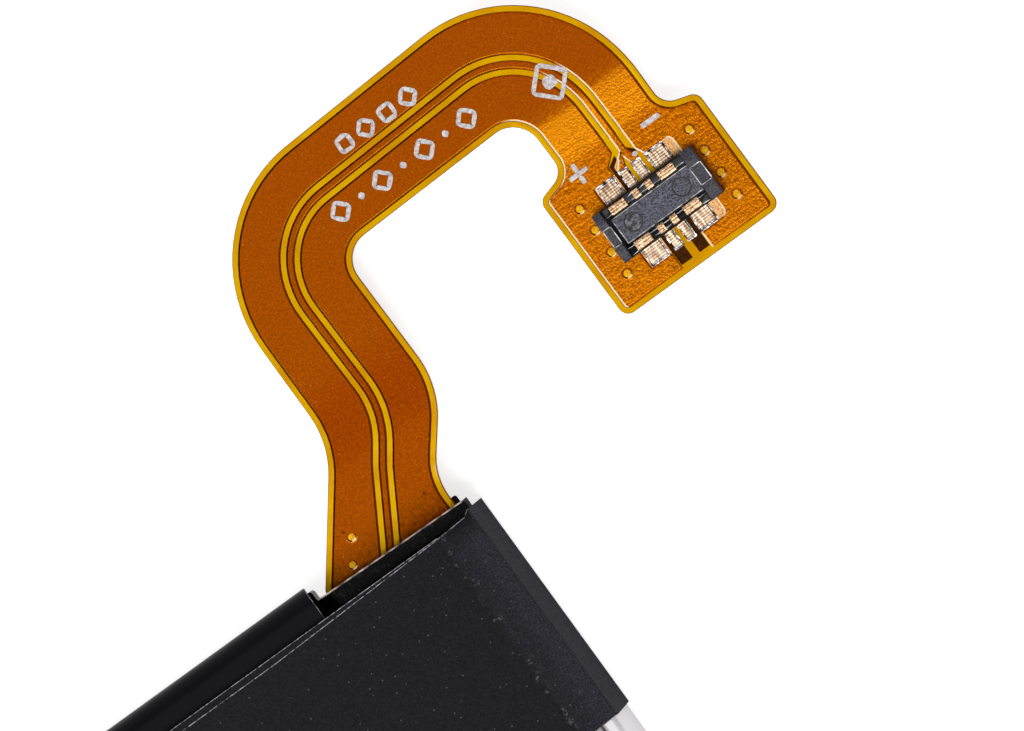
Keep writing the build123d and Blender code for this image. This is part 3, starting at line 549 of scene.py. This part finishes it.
# Painted shade and painted highlight: slopes are coloured by the way they face, dark brown away
# from the lamps and cream white towards the left lamp.
for direction, where, strength, colour in (
    ((-0.8, 0.6, 0), off_arm, 1.0, "#2e0d00"),
    ((0.6, -0.8, 0), off_arm, 1.0, "#6a2900"),
    ((1, 0, 0), on_arm, 0.8, "#6b2800"),
    ((-1, 0, 0), on_arm, 0.9, "#fff2da"),
):
    slope = leaning(tree, normal, direction, 0.12, 0.26)
    there = add(tree, "Math", {0: slope, 1: where}, operation="MULTIPLY")
    tone = stained(tree, tone, there.outputs["Value"], strength, colour)
tree.links.new(tone, shader.inputs["Base Color"])
upright = leaning(tree, normal, (0, 0, 1), 0.93, 0.99)
flat_shine = add(tree, "Math", {0: at_exit, 1: -0.92, 2: 1.0}, operation="MULTIPLY_ADD")
shine = add(tree, "Math", {0: flat_shine.outputs["Value"], 1: upright}, operation="MULTIPLY")
tree.links.new(shine.outputs["Value"], shader.inputs["Specular IOR Level"])
stretched = add(tree, "Mapping", {"Vector": place, "Scale": ripple_stretch}).outputs["Vector"]
ripple = add(tree, "TexNoise", {"Vector": stretched, "Scale": 1 / ripple_size, "Detail": 2.0})
height = add(tree, "Math", {0: ripple.outputs["Fac"], 1: 0.7, 2: grain}, operation="MULTIPLY_ADD")
depth = add(tree, "Math", {0: on_tab, 1: 0.9, 2: 0.08}, operation="MULTIPLY_ADD")
relief = add(tree, "Bump", {"Height": height.outputs["Value"], "Strength": depth.outputs["Value"],
                            "Distance": 0.012 * mm})
tree.links.new(relief.outputs["Normal"], shader.inputs["Normal"])
finished_piece(raised, "cover_film_on_copper", [amber], ["flex_cover_raised"])


# Vias join the two faces of the flex near the plug and at the root: small copper plated holes,
# which show through the film as a yellow dot. The film is pushed up in a low mound round each of
# them. The mound's inner wall is painted dark, a painted shade, and on that side of it that faces
# the head it is painted cream white, a painted glint.
via_places = [(11.87, 8.22), (11.87, 7.05), (11.87, 5.84), (11.87, 4.64),
              (18.03, 8.22), (18.03, 7.05), (18.03, 5.84), (18.03, 4.64),
              (-5.61, 2.33), (-6.37, 1.27)]
mound_radius = 0.30 * mm
mound_steps = ((0.04 * mm, 0.014 * mm), (0.025 * mm, 0.004 * mm), (0.08 * mm, -0.034 * mm))
dot_radius = 0.165 * mm
dot_rise = 0.006 * mm
dot_shoulder = 0.05 * mm
dot_crown = 0.012 * mm
via_root = 0.05 * mm
via_sides = 24
painted_glint_side = (-0.16, 0.99, 0)
sky = 10 * mm


def on_film(x, y, lift=0.0):
    """The place on the flex's films at (x, y), lifted off them by a hair."""
    hit = film_surface.ray_cast(Vector((x, y, sky)), Vector((0, 0, -1)))[0]
    return hit + Vector((0, 0, lift))


def raise_tops(body, width, rise):
    """Sets in the round top of every via and lifts it. Gives the ring of faces round it."""
    body.normal_update()
    tops = [face for face in body.faces if len(face.verts) == via_sides and face.normal.z > 0.5]
    ring = bmesh.ops.inset_individual(body, faces=tops, thickness=width)["faces"]
    verts = list({vert for face in tops for vert in face.verts})
    bmesh.ops.translate(body, verts=verts, vec=(0, 0, rise))
    return ring


mounds = bmesh.new()
dots = bmesh.new()
for u, v in via_places:
    foot = on_film(corner.x + u * mm, corner.y + v * mm)
    for body, radius, rise in ((mounds, mound_radius, 0.0), (dots, dot_radius, dot_rise)):
        middle = foot + Vector((0, 0, rise - via_root / 2))
        bmesh.ops.create_cone(body, cap_ends=True, segments=via_sides, radius1=radius,
                              radius2=radius, depth=via_root, matrix=Matrix.Translation(middle))
for width, rise in mound_steps:
    for face in raise_tops(mounds, width, rise):
        face.material_index = int(rise < 0)
raise_tops(dots, dot_shoulder, dot_crown)
gold_shine = linear("#ffb416")
via_rise = grained("film_over_via_rim", "#9a4202", "#c86a06", 0.1 * mm, 0.004 * mm, Roughness=0.15,
                   Specular_IOR_Level=0.9, Specular_Tint=gold_shine)
# Painted shade: the wall is dark brown. Painted glint: it turns cream white where it faces the
# head.
via_wall, tree, shader = new_finish("film_over_via_wall", "#2a0d00", Roughness=0.6,
                                    Specular_IOR_Level=0.0)
normal = add(tree, "NewGeometry", {}).outputs["True Normal"]
wall_shade_and_glint = add(tree, "MixRGB", {"Fac": leaning(tree, normal, painted_glint_side, 0.28, 0.36),
                                 "Color1": linear("#2a0d00"), "Color2": linear("#fff0d0")})
tree.links.new(wall_shade_and_glint.outputs["Color"], shader.inputs["Base Color"])
via_dot = grained("film_over_via_hole", "#dc9408", "#fac62a", 0.1 * mm, 0.004 * mm, Roughness=0.3,
                  Specular_Tint=gold_shine)
finished_piece(mounds, "via_mounds", [via_rise, via_wall])
finished_piece(dots, "via_dots", [via_dot])


# White ink, screen printed on the film: the signs of the two poles, two rows of simple shapes, and
# a mark in the bend. It is a thin coat, a little mottled, and its outline runs slightly over the
# mesh's threads.
ink_height = 0.012 * mm
ink_coat = 0.008 * mm
ink_wobble = 0.03 * mm
wobble_size = 0.3 * mm
ink_line = 0.20 * mm
ink_cuts = 3
noise.seed_set(5)
ink = grained("screen_printed_ink", "#b3abad", "#e6e0e0", 0.16 * mm, 0.02 * mm, Roughness=0.6)


def patch(width, height, rounding, cuts, frame_line=0.0):
    """A flat rectangle about the origin with rounded corners, or only a frame along its edge."""
    sheet = bmesh.new()
    bmesh.ops.create_grid(sheet, x_segments=1, y_segments=1, size=0.5,
                          matrix=Matrix.Diagonal((width, height, 1, 1)))
    bmesh.ops.bevel(sheet, geom=sheet.verts[:], affect="VERTICES", offset=rounding, segments=4,
                    profile=0.5, material=-1)
    bmesh.ops.subdivide_edges(sheet, edges=sheet.edges[:], cuts=cuts)
    if frame_line:
        middle = sheet.faces[:]
        bmesh.ops.inset_region(sheet, faces=middle, thickness=frame_line, use_boundary=True,
                               use_even_offset=True)
        bmesh.ops.delete(sheet, geom=middle, context="FACES")
    return sheet


def join(body, part):
    """Moves a small bmesh into a larger one."""
    carrier = bpy.data.meshes.new("carrier")
    part.to_mesh(carrier)
    part.free()
    body.from_mesh(carrier)
    bpy.data.meshes.remove(carrier)


def thicken(body, rise):
    """Makes sheets solid: a copy of them is lifted by rise(place), and walls join it to them."""
    made = bmesh.ops.extrude_face_region(body, geom=body.faces[:], use_keep_orig=True)["geom"]
    for part in made:
        if isinstance(part, bmesh.types.BMVert):
            part.co.z += rise(part.co)
    bmesh.ops.recalc_face_normals(body, faces=body.faces)


def ink_mark(body, u, v, width, height, turn=0.0, hollow=False):
    """Prints a rounded rectangle, or only its frame. Its place and its sides are in mm."""
    width, height = width * mm, height * mm
    if hollow:
        mark = patch(width, height, 1.3 * ink_line, ink_cuts, ink_line)
    else:
        mark = patch(width, height, 0.35 * min(width, height), ink_cuts)
    bmesh.ops.rotate(mark, verts=mark.verts, matrix=Matrix.Rotation(turn, 3, "Z"))
    bmesh.ops.translate(mark, verts=mark.verts, vec=corner + Vector((u, v, 0)) * mm)
    for vert in mark.verts:
        spot = vert.co + noise.noise_vector(vert.co / wobble_size) * ink_wobble
        vert.co = on_film(spot.x, spot.y, ink_height)
    join(body, mark)


on_point = math.radians(45)
marks = bmesh.new()
ink_mark(marks, 12.79, 9.52, 1.0, 0.21)
ink_mark(marks, 12.79, 9.84, 0.21, 0.40)
ink_mark(marks, 12.79, 9.20, 0.21, 0.40)
ink_mark(marks, 16.84, 9.56, 1.0, 0.24)
for u, turned in ((5.0, 0.0), (6.2, on_point), (7.4, 0.0), (8.6, on_point)):
    ink_mark(marks, u, 16.85, 0.84, 0.84, turned, hollow=True)
for u in (3.0, 5.4, 7.8, 10.2):
    ink_mark(marks, u, 14.5, 0.90, 0.90, on_point, hollow=True)
for u in (4.2, 6.6, 9.0):
    ink_mark(marks, u, 14.5, 0.30, 0.30, on_point)
ink_mark(marks, 14.24, 13.6, 1.50, 1.50, on_point, hollow=True)
ink_mark(marks, 14.24, 13.6, 0.60, 0.60)
ink_mark(marks, 15.39, 8.78, 0.22, 0.22, on_point)
thicken(marks, lambda place: ink_coat)
finished_piece(marks, "printed_marks", [ink])


# Solder: tin alloy that has wetted the lands and risen round the contacts' tails. It cools with a
# bright, rounded and slightly wrinkled skin.
skin_size = 0.28 * mm
solder, tree, shader = new_finish("solder", "#b9b8bd", Metallic=1.0, Roughness=0.25)
place = add(tree, "TexCoord", {}).outputs["Object"]
wrinkles = add(tree, "TexNoise", {"Vector": place, "Scale": 1 / skin_size, "Detail": 3.0})
skin = wrinkles.outputs["Fac"]
tin = tones(add(tree, "ValToRGB", {"Fac": skin}), (0.36, "#241d19"), (0.64, "#dfdbdb"))
relief = add(tree, "Bump", {"Height": skin, "Strength": 0.7, "Distance": 0.06 * mm})
tree.links.new(tin, shader.inputs["Base Color"])
tree.links.new(relief.outputs["Normal"], shader.inputs["Normal"])
joint_names = [f"{kind}_joint_{number}" for kind in ("power", "signal") for number in (1, 2, 3, 4)]
dress(solder, "flex_solder", *joint_names)

# Round each contact's tail the solder has crept up over the tail's edge and set in a wrinkled bead,
# with a dark rim painted along both its shoulders, a painted shadow. The beads follow the tab,
# which hangs a little.
tab_tilt = math.radians(2.5)
bead_line = 0.13 * mm
bead_spread = 0.03 * mm
bead_rounding = 0.05 * mm
bead_cuts = 7
bead_foot = 0.07 * mm
bead_shoulder = 0.035 * mm
bead_fall = 0.05 * mm
bead_wrinkle = 0.04 * mm
wrinkle_size = 0.24 * mm
beads = bmesh.new()
for name in joint_names:
    low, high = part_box(name)
    width, depth = high.x - low.x + 2 * bead_spread, high.y - low.y + 2 * bead_spread
    bead = patch(width, depth, bead_rounding, bead_cuts, bead_line)
    shoulder = bmesh.ops.inset_region(bead, faces=bead.faces[:], thickness=bead_shoulder,
                                      use_boundary=True, use_even_offset=True, use_outset=True)
    for face in shoulder["faces"]:
        face.material_index = 1
    for vert in bead.verts:
        vert.co += (low + high) / 2
        film_level = high.z - math.tan(tab_tilt) * (high.y - vert.co.y) - bead_foot
        vert.co.z = film_level - bead_fall * vert.is_boundary
    join(beads, bead)
thicken(beads, lambda place: bead_foot + bead_wrinkle * noise.noise(place / wrinkle_size))
# Painted shadow: a dark brown rim round each bead.
bead_painted_shadow = grained("painted_shadow_round_bead", "#120c08", "#2c1e15", 0.1 * mm, 0.004 * mm, Roughness=0.35)
finished_piece(beads, "solder_beads", [solder, bead_painted_shadow])


# The plate under the tab is stainless steel, stamped from sheet with a fine rolled grain and glued
# to the flex, so that the tab stays flat behind the plug.
dress(rolled_strip("stainless_sheet", "#a9a9ab"), "flex_stiffener")


# The plug's housing is moulded from glass filled polymer. The glass comes up as a fine grey grain,
# coarser in one of the two round marks that ejector pins leave. Sharp edges are painted pale, a
# painted highlight, the rails are smooth, and the ends are darker.
rail_inner = 0.78 * mm
rail_reach = 2.15 * mm
shortest_rim = 0.2 * mm
housing_rim = 0.045 * mm
pin_mark_offset = 1.35 * mm
pin_mark_radius = 0.42 * mm
pin_line = 0.035 * mm
fine_grain = 0.08 * mm
coarse_grain = 0.16 * mm
low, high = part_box("connector_housing")
plug_middle = (low + high) / 2
moulding, tree, shader = new_finish("glass_filled_polymer", "#3a3a42", Roughness=0.42)
place = add(tree, "TexCoord", {}).outputs["Object"]
fine = add(tree, "TexNoise", {"Vector": place, "Scale": 1 / fine_grain, "Detail": 4.0})
coarse = add(tree, "TexNoise", {"Vector": place, "Scale": 1 / coarse_grain, "Detail": 4.0})
fine_tone = tones(add(tree, "ValToRGB", {"Fac": fine.outputs["Fac"]}),
                  (0.39, "#06060c"), (0.62, "#626173"))
coarse_tone = tones(add(tree, "ValToRGB", {"Fac": coarse.outputs["Fac"]}),
                    (0.42, "#040406"), (0.60, "#6e6e78"))
flat_place = add(tree, "VectorMath", {0: place, 1: (1, 1, 0)},
                 operation="MULTIPLY").outputs["Vector"]
from_pins, grooves = [], []
for offset in (-pin_mark_offset, pin_mark_offset):
    middle = (plug_middle.x + offset, plug_middle.y, 0)
    away = add(tree, "VectorMath", {0: flat_place, 1: middle}, operation="DISTANCE")
    from_pins.append(away.outputs["Value"])
    groove = add(tree, "Math", {0: from_pins[-1], 1: pin_mark_radius, 2: pin_line},
                 operation="COMPARE")
    grooves.append(groove.outputs["Value"])
in_left = add(tree, "Math", {0: from_pins[0], 1: pin_mark_radius}, operation="LESS_THAN")
tone = add(tree, "MixRGB", {"Fac": in_left.outputs["Value"], "Color1": fine_tone,
                            "Color2": coarse_tone}).outputs["Color"]
across = add(tree, "SeparateXYZ", {"Vector": place}).outputs["X"]
on_rails = add(tree, "Math", {0: across, 1: plug_middle.x, 2: rail_reach}, operation="COMPARE")
at_ends = add(tree, "Math", {0: 1.0, 1: on_rails.outputs["Value"]}, operation="SUBTRACT")
tone = stained(tree, tone, at_ends.outputs["Value"], 0.55, "#0a0a0e")
for groove in grooves:
    tone = stained(tree, tone, groove, 1.0, "#020203")
relief = add(tree, "Bump", {"Height": fine.outputs["Fac"], "Strength": 0.9,
                            "Distance": 0.04 * mm})
tree.links.new(tone, shader.inputs["Base Color"])
tree.links.new(relief.outputs["Normal"], shader.inputs["Normal"])
# Painted highlight: the rounded rims along the tops of the walls are coloured up to white.
moulding_painted_highlight = grained("moulding_painted_highlight", "#4c4c54", "#ffffff", 0.3 * mm, 0.02 * mm, Roughness=0.3)
rail = grained("smooth_rail_skin", "#08080a", "#101013", 0.2 * mm, 0.002 * mm, Roughness=0.3,
               Specular_IOR_Level=0.2)


def highlit_edge(edge, side, top):
    """Whether an edge runs along the top of a wall, and isn't a short one in a small curve."""
    stands_out = top.z > 0.9 and abs(side.z) < 0.5 and edge.is_convex
    return stands_out and edge.calc_length() > shortest_rim


housing = merged_copy("connector_housing")
for face in housing.faces:
    spot = face.calc_center_median() - plug_middle
    if abs(spot.y) > rail_inner and abs(spot.x) < rail_reach:
        face.material_index = 2
round_rims(housing, housing_rim, highlit_edge)
finished_piece(housing, "plug_housing", [moulding, moulding_painted_highlight, rail],
               ["connector_housing"])


# The contacts are stamped from phosphor bronze strip, plated with pale gold over nickel and formed
# over the rails. Stamping leaves fine ribs across each strip, and the tails are streaked along
# their length where tin has run over them.
rib_scale = 2500.0  # a rib about every 0.13 mm
patina_size = 0.09 * mm
streak_size = 0.11 * mm
streak_stretch = (1.0, 0.15, 1.0)
tail_depth = 0.35 * mm
off_tab = Vector((0, -math.sin(tab_tilt), 1))
contact_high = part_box("power_contact_1")[1]
tail_level = contact_high.z + off_tab.y * contact_high.y - tail_depth
contact, tree, shader = new_finish("gold_plated_bronze", "#e0b27c", Metallic=1.0, Roughness=0.3)
place = add(tree, "TexCoord", {}).outputs["Object"]
ribs = add(tree, "TexWave", {"Vector": place, "Scale": rib_scale, "Distortion": 1.5,
                             "Detail": 2.0, "Detail Scale": 2.0}, bands_direction="Y")
patina = add(tree, "TexNoise", {"Vector": place, "Scale": 1 / patina_size, "Detail": 3.0})
gold = tones(add(tree, "ValToRGB", {"Fac": patina.outputs["Fac"]}),
             (0.33, "#7a5336"), (0.66, "#edc8a0"))
relief = add(tree, "Bump", {"Height": ribs.outputs["Fac"], "Strength": 0.25,
                            "Distance": 0.01 * mm})
lengthwise = add(tree, "Mapping", {"Vector": place, "Scale": streak_stretch}).outputs["Vector"]
streak = add(tree, "TexNoise", {"Vector": lengthwise, "Scale": 1 / streak_size, "Detail": 3.0})
tinned = tones(add(tree, "ValToRGB", {"Fac": streak.outputs["Fac"]}),
               (0.30, "#6b4c36"), (0.70, "#f6d9bb"))
height = add(tree, "VectorMath", {0: place, 1: off_tab}, operation="DOT_PRODUCT").outputs["Value"]
on_tail = add(tree, "Math", {0: height, 1: tail_level}, operation="LESS_THAN").outputs["Value"]
plated = add(tree, "MixRGB", {"Fac": on_tail, "Color1": gold, "Color2": tinned})
tree.links.new(plated.outputs["Color"], shader.inputs["Base Color"])
tree.links.new(relief.outputs["Normal"], shader.inputs["Normal"])
dress(contact, *[name.replace("joint", "contact") for name in joint_names])


# The table: a white sheet under the battery. It reads as pure white to the camera and in
# reflections, and takes the battery's shadow as any white sheet does.
table_half = 1.5
table_drop = 0.02 * mm
table_glow = 0.7
sheet = bmesh.new()
bmesh.ops.create_grid(sheet, x_segments=8, y_segments=8, size=table_half,
                      matrix=Matrix.Translation((corner.x, corner.y, -table_drop)))
table_mesh = bpy.data.meshes.new("table")
sheet.to_mesh(table_mesh)
sheet.free()
table = bpy.data.objects.new("table", table_mesh)
bpy.context.scene.collection.objects.link(table)
paper, tree, shader = new_finish("white_sheet", "#f4f4f4", Roughness=0.9)
rays = add(tree, "LightPath", {}).outputs
seen = add(tree, "Math", {0: rays["Is Camera Ray"], 1: rays["Is Glossy Ray"]}, operation="MAXIMUM")
seen = add(tree, "Math", {0: seen.outputs["Value"], 1: rays["Is Transmission Ray"]},
           operation="MAXIMUM")
glow = add(tree, "Math", {0: seen.outputs["Value"], 1: table_glow}, operation="MULTIPLY")
shader.inputs["Emission Color"].default_value = linear("#ffffff")
tree.links.new(glow.outputs["Value"], shader.inputs["Emission Strength"])
table_mesh.materials.append(paper)

# Studio light: a plain grey room, one large softbox above the foot of the battery, and three
# narrow ones low at its sides and its head, which draw the edges of the film.
room_light = 0.25
world = bpy.data.worlds.new("studio")
bpy.context.scene.world = world
world.use_nodes = True
room = world.node_tree.nodes["Background"]
room.inputs["Color"].default_value = linear("#ffffff")
room.inputs["Strength"].default_value = room_light
target = Vector((0.036193, 0.04634, 0.002))  # the middle of the view, on the flex


def softbox(name, direction, distance, width, depth, brightness):
    """A softbox that faces the flex from a direction, sized as a share of its distance."""
    lamp = bpy.data.lights.new(name, "AREA")
    lamp.shape = "RECTANGLE"
    lamp.size = width * distance
    lamp.size_y = depth * distance
    lamp.energy = brightness * math.pi * lamp.size * lamp.size_y
    stand = bpy.data.objects.new(name, lamp)
    away = Vector(direction).normalized()
    stand.location = target + away * distance
    stand.rotation_euler = away.to_track_quat("Z", "Y").to_euler()
    bpy.context.scene.collection.objects.link(stand)


softbox("key_softbox", (-0.225, -0.42, 0.88), 1.5, 1.0, 0.5, 4.6)
softbox("left_softbox", (-0.88, 0.0, 0.40), 1.2, 0.14, 0.9, 6.0)
softbox("right_softbox", (0.88, 0.05, 0.45), 1.2, 0.25, 0.9, 0.6)
softbox("head_softbox", (-0.10, 0.85, 0.50), 1.2, 0.9, 0.14, 5.0)

# The camera looks down at the head of the battery, tilted 13 degrees to its right and turned 36
# degrees, from far enough for the view to be nearly parallel.
tilt = math.radians(13)
turn = math.radians(36)
view_width = 46.08 * mm
lens = 200.0
sensor = 36.0
nearest = 10 * mm
farthest = 10.0
level = Vector((math.cos(tilt), 0, -math.sin(tilt)))
headward = Vector((0, 1, 0))
backward = Vector((math.sin(tilt), 0, math.cos(tilt)))
to_right = level * math.cos(turn) - headward * math.sin(turn)
to_top = level * math.sin(turn) + headward * math.cos(turn)
camera_data = bpy.data.cameras.new("camera")
camera_data.lens = lens
camera_data.sensor_width = sensor
camera_data.clip_start = nearest
camera_data.clip_end = farthest
camera = bpy.data.objects.new("camera", camera_data)
stand_off = backward * view_width * lens / sensor
facing = Matrix((to_right, to_top, backward)).transposed().to_4x4()
camera.matrix_world = Matrix.Translation(target + stand_off) @ facing
bpy.context.scene.collection.objects.link(camera)
bpy.context.scene.camera = camera
bpy.context.scene.view_settings.view_transform = "Standard"
